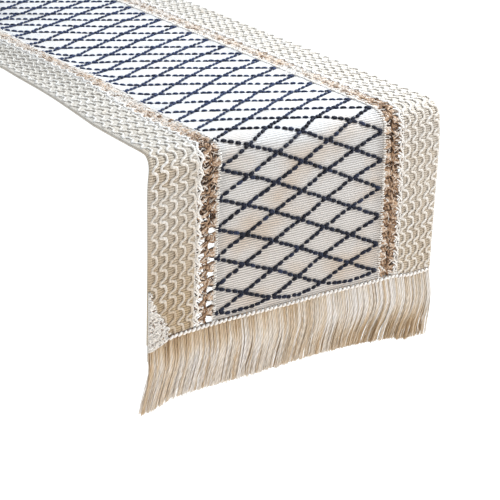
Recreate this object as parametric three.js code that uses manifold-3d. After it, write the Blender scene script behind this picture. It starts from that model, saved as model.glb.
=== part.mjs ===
// Woven cotton table runner, draped over the two ends of a table.
// Frame: +X across the runner, +Y along its length, +Z up.
// Origin: the middle of the underside of the stretch that lies on the table top.
// Both ends hang over the table's end faces and finish in a fringe.
import * as THREE from "three";
import { mergeVertices } from "three/addons/utils/BufferGeometryUtils.js";
import Module from "manifold-3d";

const wasm = await Module();
wasm.setup();

// ---- driving dimensions, mm ----
const WIDTH = 305.0;          // selvage to selvage
const FOLD_Y = 703.0;         // middle of the runner to the fold line at each table end
const FOLD_Z = -1.4;          // fold axis, just inside the rounded table edge
const FACE = 1.4;             // fold axis to the table's top face and end face
const CLEAR = 0.15;           // cloth ends this far from the fold axis on each side
const GAP = 0.3;              // gap between neighbouring pieces

// widths from the middle line outwards
const CENTRE_HALF = 86.85;    // centre panel half width
const SEAM_IN = 87.15, SEAM_OUT = 89.85;      // overcast seam cord
const BAND_IN = 90.15, BAND_OUT = 106.85;     // openwork band
const LADDER_IN = 107.15, LADDER_OUT = 109.85; // ladder cord
const SIDE_IN = 110.15, SIDE_OUT = 148.35;    // chunky side panel
const SELVAGE_IN = 148.65, SELVAGE_OUT = WIDTH / 2;

// thicknesses
const T_CENTRE = 1.8, T_BAND = 3.0, T_CORD = 2.8, T_SIDE = 3.7, T_SELVAGE = 2.6;
const LATTICE_LOW = 2.1, LATTICE_HIGH = 3.4;

// embroidered diamond lattice
const DIAMOND_HALF_W = 28.4;  // knot to knot across the runner
const DIAMOND_HALF_L = 12.85; // knot to knot along the runner
const STITCH_W = 2.8;         // yarn width
const LATTICE_PHASE = 13.2;   // first left apex below the fold, along the cloth

// openwork band: one hole for each knot row
const HOLE_W = 3.8, HOLE_L = 5.4;

// lengths along the cloth, measured from the middle of the fold
const CLOTH_END = 149.0;      // panels stop here
const HEADER_CORD = [149.3, 152.5];
const HEADER_TAPE = [152.8, 161.0];
const FRINGE_AXIS = 161.3;    // the fringe swings here
const FRINGE_END = 211.0;
const T_FRINGE = 3.2;

// ---- materials ----
const fabric = (color, roughness = 0.95) => new THREE.MeshStandardMaterial({ color, roughness, metalness: 0 });
const MAT = {
  centre: fabric(0xe9e2d6),
  lattice: fabric(0x15171f),
  band: fabric(0x9a7158),
  seam: fabric(0xf1ece4),
  ladder: fabric(0xe8dfd2),
  side: fabric(0xe2d5c2),
  selvage: fabric(0xece7de),
  header: fabric(0xf4f0ea),
  tape: fabric(0xdcccb4),
  fringe: fabric(0xdfd2c0, 0.8),
};

const root = new THREE.Group();

function solidOf(geometry) {
  const g = geometry.clone();
  g.deleteAttribute("normal");
  g.deleteAttribute("uv");
  const m = mergeVertices(g, 1e-4);
  return new wasm.Manifold(new wasm.Mesh({
    numProp: 3,
    vertProperties: new Float32Array(m.attributes.position.array),
    triVerts: new Uint32Array(m.index.array),
  }));
}

function geometryOf(solid) {
  const mesh = solid.getMesh();
  const n = mesh.vertProperties.length / mesh.numProp;
  const pos = new Float32Array(n * 3);
  for (let i = 0; i < n; i++) {
    for (let k = 0; k < 3; k++) pos[3 * i + k] = mesh.vertProperties[mesh.numProp * i + k];
  }
  const g = new THREE.BufferGeometry();
  g.setAttribute("position", new THREE.BufferAttribute(pos, 3));
  g.setIndex(new THREE.BufferAttribute(new Uint32Array(mesh.triVerts), 1));
  g.computeVertexNormals();
  return g;
}

// A flat stretch of cloth is drawn in its own plane: x across, v along the cloth, h above the table face.
// Each stretch is then laid on the table top, or hung on one of the two end faces.
function lay(name, geometry, material, where) {
  const g = geometry.clone();
  const m = new THREE.Matrix4();
  if (where === "front") {
    // v runs down the front end face, h points to -Y
    m.set(1, 0, 0, 0,
          0, 0, -1, -FOLD_Y - FACE,
          0, -1, 0, FOLD_Z,
          0, 0, 0, 1);
    // this placement mirrors the drawing, so the winding is reversed below
  } else if (where === "back") {
    m.set(1, 0, 0, 0,
          0, 0, 1, FOLD_Y + FACE,
          0, -1, 0, FOLD_Z,
          0, 0, 0, 1);
  }
  if (where !== "top") g.applyMatrix4(m);
  if (m.determinant() < 0) {
    const idx = g.index ? g.index.array : null;
    if (idx) for (let i = 0; i < idx.length; i += 3) { const a = idx[i + 1]; idx[i + 1] = idx[i + 2]; idx[i + 2] = a; }
    else {
      const p = g.attributes.position.array;
      for (let i = 0; i < p.length; i += 9) for (let k = 0; k < 3; k++) { const a = p[i + 3 + k]; p[i + 3 + k] = p[i + 6 + k]; p[i + 6 + k] = a; }
    }
    g.computeVertexNormals();
  }
  const mesh = new THREE.Mesh(g, material);
  mesh.name = name;
  root.add(mesh);
  return mesh;
}

function slab(x0, x1, v0, v1, h0, h1) {
  const g = new THREE.BoxGeometry(x1 - x0, v1 - v0, h1 - h0);
  g.translate((x0 + x1) / 2, (v0 + v1) / 2, (h0 + h1) / 2);
  return g;
}

// An openwork strip: a flat band pierced by a column of rectangular holes.
function openwork(x0, x1, v0, v1, h0, h1, first) {
  const shape = new THREE.Shape();
  shape.moveTo(x0, v0); shape.lineTo(x1, v0); shape.lineTo(x1, v1); shape.lineTo(x0, v1); shape.lineTo(x0, v0);
  const xc = (x0 + x1) / 2;
  const k0 = Math.ceil((v0 - first) / DIAMOND_HALF_L), k1 = Math.floor((v1 - first) / DIAMOND_HALF_L);
  for (let k = k0; k <= k1; k++) {
    const vc = first + k * DIAMOND_HALF_L;
    if (vc - HOLE_L / 2 < v0 + 1.5 || vc + HOLE_L / 2 > v1 - 1.5) continue;
    const hole = new THREE.Path();
    hole.moveTo(xc - HOLE_W / 2, vc - HOLE_L / 2);
    hole.lineTo(xc - HOLE_W / 2, vc + HOLE_L / 2);
    hole.lineTo(xc + HOLE_W / 2, vc + HOLE_L / 2);
    hole.lineTo(xc + HOLE_W / 2, vc - HOLE_L / 2);
    hole.lineTo(xc - HOLE_W / 2, vc - HOLE_L / 2);
    shape.holes.push(hole);
  }
  const g = new THREE.ExtrudeGeometry(shape, { depth: h1 - h0, bevelEnabled: false, steps: 1 });
  g.translate(0, 0, h0);
  return g;
}

// The embroidered net: two families of straight yarn lines crossing at the knots.
// It is drawn as an outline with flat-tipped apexes on both edges and one diamond opening per mesh of the net.
function lattice(v0, v1, first) {
  const theta = Math.atan2(DIAMOND_HALF_L, DIAMOND_HALF_W);
  const holeU = DIAMOND_HALF_W - STITCH_W / (2 * Math.sin(theta));
  const holeV = DIAMOND_HALF_L - STITCH_W / (2 * Math.cos(theta));
  const edge = CENTRE_HALF - 0.6;
  const apex = 3 * DIAMOND_HALF_W;
  const tip = (apex + STITCH_W / (2 * Math.sin(theta)) - edge) * Math.tan(theta);
  const valley = apex - holeU;
  let j0 = Math.floor((v0 - first) / DIAMOND_HALF_L) - 2;
  let j1 = Math.ceil((v1 - first) / DIAMOND_HALF_L) + 2;
  if (j0 % 2) j0 -= 1;
  if (j1 % 2) j1 += 1;
  const v = (j) => first + j * DIAMOND_HALF_L;
  const right = [];
  for (let j = j0; j <= j1; j++) {
    if (j % 2 === 0) {
      if (j > j0) right.push([edge, v(j) - tip]);
      if (j < j1) right.push([edge, v(j) + tip]);
    } else right.push([valley, v(j)]);
  }
  const shape = new THREE.Shape();
  right.forEach(([x, y], i) => (i ? shape.lineTo(x, y) : shape.moveTo(x, y)));
  [...right].reverse().forEach(([x, y]) => shape.lineTo(-x, y));
  shape.closePath();
  for (let j = j0 + 1; j < j1; j++) {
    for (let i = -2; i <= 2; i++) {
      if (Math.abs(i + 3 + j) % 2 === 0) continue;
      const u = i * DIAMOND_HALF_W;
      const hole = new THREE.Path();
      hole.moveTo(u - holeU, v(j)); hole.lineTo(u, v(j) + holeV); hole.lineTo(u + holeU, v(j)); hole.lineTo(u, v(j) - holeV);
      hole.closePath();
      shape.holes.push(hole);
    }
  }
  const g = new THREE.ExtrudeGeometry(shape, { depth: LATTICE_HIGH - LATTICE_LOW, bevelEnabled: false, steps: 1 });
  g.translate(0, 0, LATTICE_LOW);
  const window = solidOf(slab(-CENTRE_HALF, CENTRE_HALF, v0, v1, LATTICE_LOW - 1, LATTICE_HIGH + 1));
  const parts = solidOf(g).intersect(window).decompose();
  parts.sort((a, b) => b.volume() - a.volume());
  return geometryOf(parts[0]);
}

const STRETCH = {
  top: { v0: -(FOLD_Y - CLEAR), v1: FOLD_Y - CLEAR },
  front: { v0: CLEAR, v1: CLOTH_END },
  back: { v0: CLEAR, v1: CLOTH_END },
};

// On the top, v is the row's Y; a left apex sits on y = -FOLD_Y - LATTICE_PHASE + k * pitch, continued from the front drop.
// The runner is the same end for end, so the phase is set from the front and taken as it falls at the back.
const PITCH = 2 * DIAMOND_HALF_L;
const rowsTop = -FOLD_Y - LATTICE_PHASE;
const rowsFront = LATTICE_PHASE;
const rowsBack = (() => { const v = 2 * FOLD_Y + LATTICE_PHASE; return PITCH * Math.ceil(v / PITCH) - v; })();
const FIRST = { top: rowsTop, front: rowsFront, back: rowsBack };

for (const where of ["top", "front", "back"]) {
  const { v0, v1 } = STRETCH[where];
  const tag = `_${where}`;
  lay(`centre_panel${tag}`, slab(-CENTRE_HALF, CENTRE_HALF, v0, v1, 0, T_CENTRE), MAT.centre, where);
  lay(`diamond_lattice${tag}`, lattice(v0 + 0.5, v1 - 0.5, FIRST[where]), MAT.lattice, where);
  for (const [side, s] of [["left", -1], ["right", 1]]) {
    const span = (a, b) => (s < 0 ? [-b, -a] : [a, b]);
    const [b0, b1] = span(BAND_IN, BAND_OUT);
    lay(`openwork_band_${side}${tag}`, openwork(b0, b1, v0, v1, 0, T_BAND, FIRST[where]), MAT.band, where);
    const [c0, c1] = span(SEAM_IN, SEAM_OUT);
    lay(`seam_cord_${side}${tag}`, slab(c0, c1, v0, v1, 0, T_CORD), MAT.seam, where);
    const [l0, l1] = span(LADDER_IN, LADDER_OUT);
    lay(`ladder_cord_${side}${tag}`, slab(l0, l1, v0, v1, 0, T_CORD), MAT.ladder, where);
    const [p0, p1] = span(SIDE_IN, SIDE_OUT);
    lay(`side_panel_${side}${tag}`, slab(p0, p1, v0, v1, 0, T_SIDE), MAT.side, where);
    const [e0, e1] = span(SELVAGE_IN, SELVAGE_OUT);
    lay(`selvage_${side}${tag}`, slab(e0, e1, v0, v1, 0, T_SELVAGE), MAT.selvage, where);
  }
}

// The fringe curtain: its top edge is a ridge, so that it can swing under the header tape.
function curtain() {
  const a = T_FRINGE / 2;
  const section = new THREE.Shape();
  section.moveTo(FRINGE_AXIS + GAP, 0);
  section.lineTo(FRINGE_AXIS + GAP + 2.2, a);
  section.lineTo(FRINGE_END, a);
  section.lineTo(FRINGE_END, -a);
  section.lineTo(FRINGE_AXIS + GAP + 2.2, -a);
  section.lineTo(FRINGE_AXIS + GAP, 0);
  const g = new THREE.ExtrudeGeometry(section, { depth: WIDTH, bevelEnabled: false, steps: 1 });
  // section x -> v, section y -> h, depth -> x
  const m = new THREE.Matrix4().set(
    0, 0, 1, -WIDTH / 2,
    1, 0, 0, 0,
    0, 1, 0, a,
    0, 0, 0, 1);
  g.applyMatrix4(m);
  return g;
}

for (const where of ["front", "back"]) {
  lay(`header_cord_${where}`, slab(-WIDTH / 2, WIDTH / 2, HEADER_CORD[0], HEADER_CORD[1], 0, 3.9), MAT.header, where);
  lay(`header_tape_${where}`, slab(-WIDTH / 2, WIDTH / 2, HEADER_TAPE[0], HEADER_TAPE[1], 0, T_FRINGE), MAT.tape, where);
  lay(`fringe_${where}`, curtain(), MAT.fringe, where);
}

export default root;
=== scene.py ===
import bpy, math
import numpy as np
from mathutils import Matrix, Vector


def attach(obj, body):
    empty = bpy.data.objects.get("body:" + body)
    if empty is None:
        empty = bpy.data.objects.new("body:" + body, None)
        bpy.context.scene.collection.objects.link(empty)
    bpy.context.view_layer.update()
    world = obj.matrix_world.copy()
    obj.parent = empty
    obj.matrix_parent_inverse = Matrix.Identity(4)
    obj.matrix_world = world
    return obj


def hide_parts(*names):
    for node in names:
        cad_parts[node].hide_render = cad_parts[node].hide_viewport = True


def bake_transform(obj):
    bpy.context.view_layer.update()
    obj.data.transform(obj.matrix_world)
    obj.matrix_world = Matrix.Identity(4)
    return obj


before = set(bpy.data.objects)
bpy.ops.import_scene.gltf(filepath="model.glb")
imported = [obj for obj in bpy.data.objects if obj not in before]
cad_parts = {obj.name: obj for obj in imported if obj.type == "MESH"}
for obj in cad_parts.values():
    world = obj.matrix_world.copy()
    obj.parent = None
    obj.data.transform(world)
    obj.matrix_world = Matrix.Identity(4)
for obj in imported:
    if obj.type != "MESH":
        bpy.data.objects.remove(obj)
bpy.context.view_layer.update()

# ------------------------------------------------------------------ the cloth's own frame
# u runs across (mm, + to the right), v along the cloth (mm, front end negative), h is the height above the face
# that the cloth lies on. place() lays a point (u, v, h) on the table top, round the fold and down the end face.
HALF_W = 152.5
FOLD = 703.0
R = 15.2                      # bend radius of the cloth's middle surface
HM = 1.86                     # height of that surface above the table face
Q = math.pi * R / 4
CY, CZ = FOLD - Q, HM - R
LEAN = math.radians(2.6)      # the drops lean out a little
FLARE = 0.032                 # and spread a little
CLOTH_END = 149.0
HEM = 151.0
FRINGE_END = 211.0
TWO_PI = 2 * math.pi


def s01(t):
    t = np.clip(t, 0.0, 1.0)
    return t * t * (3 - 2 * t)


def ripple(u, v):
    """Soft humps of the stretch on the table, higher on the left. They die out at the folds."""
    a = np.sin(v / 46.0 + u / 60.0 + 0.7) * np.sin(v / 83.0 - u / 52.0 + 1.9)
    b = np.sin(v / 27.0 + u / 90.0 + 2.3)
    left = 0.16 + 0.84 * s01((45.0 - u) / 150.0)
    hump = 2.5 * (a + 0.35) + 0.55 * b
    hump = np.log1p(np.exp(1.6 * hump)) / 1.6 - 0.25
    z = np.clip(hump, 0, 9) * left
    # a long low ridge under the left openwork, where the side panel has slipped inwards
    away = FOLD - np.abs(v)
    run = s01((away - 70.0) / 120.0) * s01((FOLD - 30.0 - away) / 200.0) * np.where(v < 0, 1.0, 0.5)
    ridge = 6.0 * np.exp(-((u + 100.0) / 24.0) ** 2)
    return (z + ridge * run) * s01((FOLD - 26.0 - np.abs(v)) / 70.0)


def slip(u, v):
    """How far the left edge has crept in on the table, mm."""
    away = FOLD - np.abs(v)
    grow = np.clip((away - 84.0) / 168.0, 0.0, 1.0)
    grow = grow * s01((FOLD + 60.0 - away) / 420.0) * np.where(v < 0, 1.0, 0.45)
    return 18.0 * grow * s01((-u - 88.0) / 64.0)


def hem_sag(u):
    """The outer corners of each drop hang a little lower than the middle."""
    return 0.026 * s01((u - 100.0) / 30.0) + 0.030 * s01((-u - 126.0) / 26.0)


def place(u, v, h):
    u, v, h = np.broadcast_arrays(np.asarray(u, float), np.asarray(v, float), np.asarray(h, float))
    side = np.where(v < 0, -1.0, 1.0)
    a = np.abs(v)
    a = a + np.maximum(a - FOLD, 0.0) * hem_sag(u)
    s = a - CY
    th_max = math.pi / 2 - LEAN
    th = np.clip(s / R, 0.0, th_max)
    beyond = np.maximum(s - th_max * R, 0.0)
    drop = np.maximum(a - FOLD - 14.0, 0.0)
    # shallow standing waves of the hanging cloth
    wave = s01(drop / 70.0) * (1.3 * np.sin(u / 41.0 + 0.9 * side + 0.5) + 0.8 * np.sin(u / 19.0 + drop / 70.0 + 1.0))
    d = h - HM + np.where(s > 0, wave, 0.0)
    lift = ripple(u, v)
    y = np.where(s < 0, a, CY + (R + d) * np.sin(th) + beyond * math.cos(th_max))
    z = np.where(s < 0, h + lift, CZ + (R + d) * np.cos(th) - beyond * math.sin(th_max))
    x = u * (1 + FLARE * s01((a - FOLD + 20.0) / 60.0)) + slip(u, v)
    # the left edge leans out a shade more
    x = x - 1.4 * s01((-u - 120.0) / 32.0) * s01((a - FOLD) / 30.0)
    x = x - 2.6 * s01((-u - 105.0) / 45.0) * np.exp(-((a - FOLD - 8.0) / 17.0) ** 2)
    return np.stack([x, side * y, z], -1) * 0.001


# ------------------------------------------------------------------ mesh helpers
def make(name, pts, quads=None, tris=None, ngons=None, flat=None, tone=None, smooth=True, material=None):
    """A mesh object from arrays. flat (mm) is kept as an attribute for the materials, tone is a 0..1 shade."""
    me = bpy.data.meshes.new(name)
    loops, starts, totals = [], [], []
    n = 0
    for arr, k in ((quads, 4), (tris, 3)):
        if arr is not None and len(arr):
            arr = np.asarray(arr, np.int32).reshape(-1, k)
            loops.append(arr.ravel())
            starts.append(n + np.arange(len(arr)) * k)
            totals.append(np.full(len(arr), k))
            n += arr.size
    for g in ngons or []:
        loops.append(np.asarray(g, np.int32))
        starts.append(np.array([n]))
        totals.append(np.array([len(g)]))
        n += len(g)
    loops, starts, totals = np.concatenate(loops), np.concatenate(starts), np.concatenate(totals)
    me.vertices.add(len(pts))
    me.vertices.foreach_set("co", np.asarray(pts, np.float32).ravel())
    me.loops.add(len(loops))
    me.loops.foreach_set("vertex_index", loops.astype(np.int32))
    me.polygons.add(len(starts))
    me.polygons.foreach_set("loop_start", starts.astype(np.int32))
    me.polygons.foreach_set("loop_total", totals.astype(np.int32))
    me.polygons.foreach_set("use_smooth", np.full(len(starts), smooth))
    me.update(calc_edges=True)
    if flat is not None:
        a = me.attributes.new("flat", "FLOAT_VECTOR", "POINT")
        a.data.foreach_set("vector", np.asarray(flat, np.float32).ravel())
    if tone is not None:
        a = me.attributes.new("tone", "FLOAT", "POINT")
        a.data.foreach_set("value", np.asarray(tone, np.float32).ravel())
    me.validate()
    ob = bpy.data.objects.new(name, me)
    bpy.context.scene.collection.objects.link(ob)
    if material is not None:
        me.materials.append(material)
    return ob


def tubes(P, rad, sides=6, flatness=1.0, tone=None, grow=0.7):
    """Closed tubes along P (count, points, 3) in cloth coordinates. Returns (verts, quads, tris, flat attribute, tone)."""
    N, M, _ = P.shape
    rad = np.broadcast_to(np.asarray(rad, float), (N, M)) if np.ndim(rad) < 2 else np.asarray(rad, float)
    T = np.gradient(P, axis=1)
    T /= np.maximum(np.linalg.norm(T, axis=2, keepdims=True), 1e-9)
    S = np.cross(T, np.array([0.0, 0.0, 1.0]))
    ln = np.linalg.norm(S, axis=2, keepdims=True)
    S = np.where(ln < 1e-3, np.array([1.0, 0.0, 0.0]), S / np.maximum(ln, 1e-9))
    U = np.cross(S, T)
    ang = np.arange(sides) * TWO_PI / sides
    ring = (P[:, :, None, :]
            + rad[..., None, None] * (np.cos(ang)[None, None, :, None] * S[:, :, None, :]
                                      + flatness * np.sin(ang)[None, None, :, None] * U[:, :, None, :]))
    p0 = P[:, 0] - T[:, 0] * rad[:, :1] * grow
    p1 = P[:, -1] + T[:, -1] * rad[:, -1:] * grow
    V = np.concatenate([ring.reshape(N, M * sides, 3), p0[:, None], p1[:, None]], 1)
    i, j = np.meshgrid(np.arange(M - 1), np.arange(sides), indexing="ij")
    j2 = (j + 1) % sides
    q = np.stack([i * sides + j, (i + 1) * sides + j, (i + 1) * sides + j2, i * sides + j2], -1).reshape(-1, 4)
    jj = np.arange(sides)
    k2 = (jj + 1) % sides
    c0 = np.stack([np.full(sides, M * sides), jj, k2], -1)
    c1 = np.stack([np.full(sides, M * sides + 1), (M - 1) * sides + k2, (M - 1) * sides + jj], -1)
    t = np.concatenate([c0, c1])
    base = (np.arange(N) * (M * sides + 2))[:, None, None]
    quads = (q[None] + base).reshape(-1, 4)
    tris = (t[None] + base).reshape(-1, 3)
    # along / around the yarn, for the ply pattern
    seg = np.concatenate([np.zeros((N, 1)), np.cumsum(np.linalg.norm(np.diff(P, axis=1), axis=2), 1)], 1)
    A = np.zeros((N, M * sides + 2, 3))
    A[:, : M * sides, 0] = np.repeat(seg, sides, 1)
    A[:, : M * sides, 1] = np.tile(np.minimum(ang, TWO_PI - ang), (N, M))
    A[:, M * sides, 0] = 0
    A[:, M * sides + 1, 0] = seg[:, -1]
    A[:, :, 2] = (np.arange(N) * 7.31 % 97.0)[:, None]
    tn = None
    if tone is not None:
        tone = np.asarray(tone, float)
        if tone.ndim == 1:
            tn = np.repeat(tone[:, None], M * sides + 2, 1)
        else:
            tn = np.concatenate([np.repeat(tone, sides, 1), tone[:, :1], tone[:, -1:]], 1)
        tn = tn.reshape(-1)
    return V.reshape(-1, 3), quads, tris, A.reshape(-1, 3), tn


def join(parts):
    """Several tubes() results in one."""
    V, Qd, Tr, A, tn = [], [], [], [], []
    n = 0
    for v, q, t, a, k in parts:
        V.append(v); Qd.append(q + n); Tr.append(t + n); A.append(a)
        tn.append(np.full(len(v), 0.5) if k is None else k)
        n += len(v)
    return np.concatenate(V), np.concatenate(Qd), np.concatenate(Tr), np.concatenate(A), np.concatenate(tn)


def yarn_object(name, parts, material):
    v, q, t, a, k = join(parts)
    return make(name, place(v[:, 0], v[:, 1], v[:, 2]), q, t, flat=a, tone=k, material=material)


def slab(name, us, vs, top, bottom, material, tone=None, step=8):
    """A closed strip of cloth: a fine upper face and a coarser lower face, joined round the rim."""
    us, vs = np.asarray(us, float), np.asarray(vs, float)
    nu, nv = len(us), len(vs)
    Ug, Vg = np.meshgrid(us, vs, indexing="ij")
    Ht = top(Ug, Vg)
    cols = list(range(0, nu - 1, step)) + [nu - 1]
    Ub, Vb = np.meshgrid(us[cols], vs, indexing="ij")
    Hb = bottom(Ub, Vb)
    P = np.concatenate([place(Ug, Vg, Ht).reshape(-1, 3), place(Ub, Vb, Hb).reshape(-1, 3)])
    F = np.concatenate([np.stack([Ug, Vg, Ht], -1).reshape(-1, 3), np.stack([Ub, Vb, Hb], -1).reshape(-1, 3)])
    i, j = np.meshgrid(np.arange(nu - 1), np.arange(nv - 1), indexing="ij")
    idx = lambda a, b: a * nv + b
    q1 = np.stack([idx(i, j), idx(i + 1, j), idx(i + 1, j + 1), idx(i, j + 1)], -1).reshape(-1, 4)
    nb, off = len(cols), nu * nv
    i, j = np.meshgrid(np.arange(nb - 1), np.arange(nv - 1), indexing="ij")
    q2 = np.stack([idx(i, j + 1), idx(i + 1, j + 1), idx(i + 1, j), idx(i, j)], -1).reshape(-1, 4) + off
    j = np.arange(nv - 1)
    q3 = np.stack([idx(0, j), idx(0, j + 1), off + idx(0, j + 1), off + idx(0, j)], -1)
    q4 = np.stack([off + idx(nb - 1, j), off + idx(nb - 1, j + 1), idx(nu - 1, j + 1), idx(nu - 1, j)], -1)
    quads = np.concatenate([q1, q2, q3, q4])
    g0 = [idx(a, 0) for a in range(nu)][::-1] + [off + idx(a, 0) for a in range(nb)]
    g1 = [idx(a, nv - 1) for a in range(nu)] + [off + idx(a, nv - 1) for a in range(nb)][::-1]
    ngons = [g0, g1]
    if vs[-1] < vs[0]:
        quads, ngons = quads[:, ::-1], [g[::-1] for g in ngons]
    tn = None
    if tone is not None:
        tn = np.concatenate([tone(Ug, Vg, Ht).ravel(), np.full(Ub.size, 0.85)])
    return make(name, P, quads, ngons=ngons, flat=F, tone=tn, material=material)


def noise2(x, y, seed=0, octaves=3):
    """Smooth repeatable noise, about -1..1."""
    rng = np.random.default_rng(seed)
    tot = np.zeros(np.broadcast(x, y).shape)
    amp = 1.0
    for o in range(octaves):
        a = rng.uniform(0, TWO_PI, 3)
        ph = rng.uniform(0, TWO_PI, 3)
        f = 2.0 ** o
        for k in range(3):
            tot = tot + amp / 3 * np.sin(f * (x * math.cos(a[k]) + y * math.sin(a[k])) * (1 + 0.31 * k) + ph[k])
        amp *= 0.55
    return tot


# ------------------------------------------------------------------ materials
def N(nt, kind, **kw):
    n = nt.nodes.new(kind)
    for k, v in kw.items():
        if k in n.inputs.keys() and not hasattr(n, k):
            n.inputs[k].default_value = v
        else:
            setattr(n, k, v)
    return n


def new_mat(name, rough=0.9, sheen=0.25, sheen_rough=0.5, spec=0.3):
    m = bpy.data.materials.new(name)
    m.use_nodes = True
    nt = m.node_tree
    b = nt.nodes["Principled BSDF"]
    b.inputs["Roughness"].default_value = rough
    b.inputs["Sheen Weight"].default_value = sheen
    b.inputs["Sheen Roughness"].default_value = sheen_rough
    b.inputs["Specular IOR Level"].default_value = spec
    return m, nt, b


def math_node(nt, op, a, b=None, c=None, clamp=False):
    n = nt.nodes.new("ShaderNodeMath")
    n.operation = op
    n.use_clamp = clamp
    for i, x in enumerate((a, b, c)):
        if x is None:
            continue
        if isinstance(x, (int, float)):
            n.inputs[i].default_value = x
        else:
            nt.links.new(x, n.inputs[i])
    return n.outputs[0]


def attr(nt, name):
    n = nt.nodes.new("ShaderNodeAttribute")
    n.attribute_name = name
    return n


def scaled(nt, vec, sx, sy, sz):
    n = nt.nodes.new("ShaderNodeVectorMath")
    n.operation = "MULTIPLY"
    nt.links.new(vec, n.inputs[0])
    n.inputs[1].default_value = (sx, sy, sz)
    return n.outputs[0]


def noise(nt, vec, scale, detail=3.0, rough=0.55):
    n = nt.nodes.new("ShaderNodeTexNoise")
    n.inputs["Scale"].default_value = scale
    n.inputs["Detail"].default_value = detail
    n.inputs["Roughness"].default_value = rough
    nt.links.new(vec, n.inputs["Vector"])
    return n.outputs["Fac"]


def ramp(nt, fac, stops):
    n = nt.nodes.new("ShaderNodeValToRGB")
    el = n.color_ramp.elements
    while len(el) < len(stops):
        el.new(0.5)
    for e, (p, c) in zip(el, stops):
        e.position = p
        e.color = (*c, 1)
    nt.links.new(fac, n.inputs["Fac"])
    return n.outputs["Color"]


def mix(nt, fac, a, b, mode="MIX"):
    n = nt.nodes.new("ShaderNodeMix")
    n.data_type = "RGBA"
    n.blend_type = mode
    for sock, x in ((n.inputs[0], fac), (n.inputs[6], a), (n.inputs[7], b)):
        if isinstance(x, (int, float)):
            sock.default_value = x
        elif isinstance(x, tuple):
            sock.default_value = (*x, 1)
        else:
            nt.links.new(x, sock)
    return n.outputs[2]


def bump(nt, b, height, distance, strength=1.0, normal=None):
    n = nt.nodes.new("ShaderNodeBump")
    n.inputs["Strength"].default_value = strength
    n.inputs["Distance"].default_value = distance
    nt.links.new(height, n.inputs["Height"])
    if normal is not None:
        nt.links.new(normal, n.inputs["Normal"])
    if b is not None:
        nt.links.new(n.outputs["Normal"], b.inputs["Normal"])
    return n.outputs["Normal"]


RIB = 2.06  # cross rib pitch, mm


def weave_material(name, light, dark, patch, patch_low, patch_high, use_tone=False, sheen=0.25, hem_warm_bounce=0.0, ribbing=0.50, right_lit=0.0):
    """Plain weave: cross ribs, fine lengthwise threads and soft stains, with painted shade in the rib valleys and
    between the warp grains, and where asked for a painted warm bounce light towards the hem and a right side painted
    lighter. Coordinates are the cloth's own, in mm.
    """
    m, nt, b = new_mat(name, 0.92, sheen)
    f = attr(nt, "flat").outputs["Vector"]
    sep = nt.nodes.new("ShaderNodeSeparateXYZ")
    nt.links.new(f, sep.inputs[0])
    uu, vv = sep.outputs["X"], sep.outputs["Y"]
    # rib profile, gently uneven
    wob = noise(nt, scaled(nt, f, 0.05, 0.03, 0), 3.0, 2)
    ph = math_node(nt, "ADD", math_node(nt, "MULTIPLY", vv, TWO_PI / RIB), math_node(nt, "MULTIPLY", wob, 2.4))
    rib = math_node(nt, "MULTIPLY_ADD", math_node(nt, "COSINE", ph), 0.5, 0.5)
    # warp threads cross over and under, so each rib is broken into little grains
    warp = noise(nt, scaled(nt, f, 1.25, 0.30, 0), 1.0, 2, 0.6)
    grain = noise(nt, scaled(nt, f, 2.2, 2.2, 0), 1.0, 2, 0.7)
    big = noise(nt, scaled(nt, f, 0.017, 0.021, 0), 1.0, 3, 0.5)
    stain_and_painted_light = math_node(nt, "MULTIPLY_ADD", big, 1.0 / (patch_high - patch_low), -patch_low / (patch_high - patch_low), clamp=True)
    # painted light: a warm bounce from below, painted as a warm tint that grows down the hanging ends towards the hem
    if hem_warm_bounce:
        down = math_node(nt, "MULTIPLY_ADD", math_node(nt, "ABSOLUTE", vv), hem_warm_bounce / 105.0, -hem_warm_bounce * (FOLD + 22.0) / 105.0, clamp=True)
        stain_and_painted_light = math_node(nt, "MAXIMUM", stain_and_painted_light, math_node(nt, "MINIMUM", down, hem_warm_bounce))
    # the stains and the painted warm bounce light are mostly on the hanging ends
    ends = math_node(nt, "MULTIPLY_ADD", math_node(nt, "ABSOLUTE", vv), 1.0 / 60.0, -(FOLD - 30.0) / 60.0, clamp=True)
    stain_and_painted_light = math_node(nt, "MULTIPLY", stain_and_painted_light, math_node(nt, "MULTIPLY_ADD", ends, 0.8, 0.2))
    # painted light: the stains and the painted warm tint fade out towards the right of the panel, so its right side is
    # painted lighter, as lit from the right
    if right_lit:
        right = math_node(nt, "MULTIPLY", uu, 1.0 / 90.0, clamp=True)
        stain_and_painted_light = math_node(nt, "MULTIPLY", stain_and_painted_light, math_node(nt, "MULTIPLY_ADD", right, -right_lit, 1.0))
    c = mix(nt, stain_and_painted_light, light, patch)
    # painted shade: the valleys between the ribs and the dips between the warp grains are darkened towards the dark
    # colour
    rib_valley_shade = math_node(nt, "MULTIPLY_ADD", math_node(nt, "POWER", rib, 0.6), -ribbing, ribbing)
    c = mix(nt, rib_valley_shade, c, dark)
    warp_grain_shade = math_node(nt, "MULTIPLY_ADD", warp, -1.6, 1.15, clamp=True)
    c = mix(nt, math_node(nt, "MULTIPLY", warp_grain_shade, 0.42), c, dark)
    if use_tone:
        t = attr(nt, "tone").outputs["Fac"]
        c = mix(nt, math_node(nt, "SUBTRACT", 1.0, t, clamp=True), c, dark)
    nt.links.new(c, b.inputs["Base Color"])
    hgt = math_node(nt, "ADD", math_node(nt, "MULTIPLY", rib, 0.55),
                    math_node(nt, "ADD", math_node(nt, "MULTIPLY", warp, 0.8), math_node(nt, "MULTIPLY", grain, 0.35)))
    bump(nt, b, hgt, 0.0009 * ribbing, 0.8)
    return m


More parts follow.
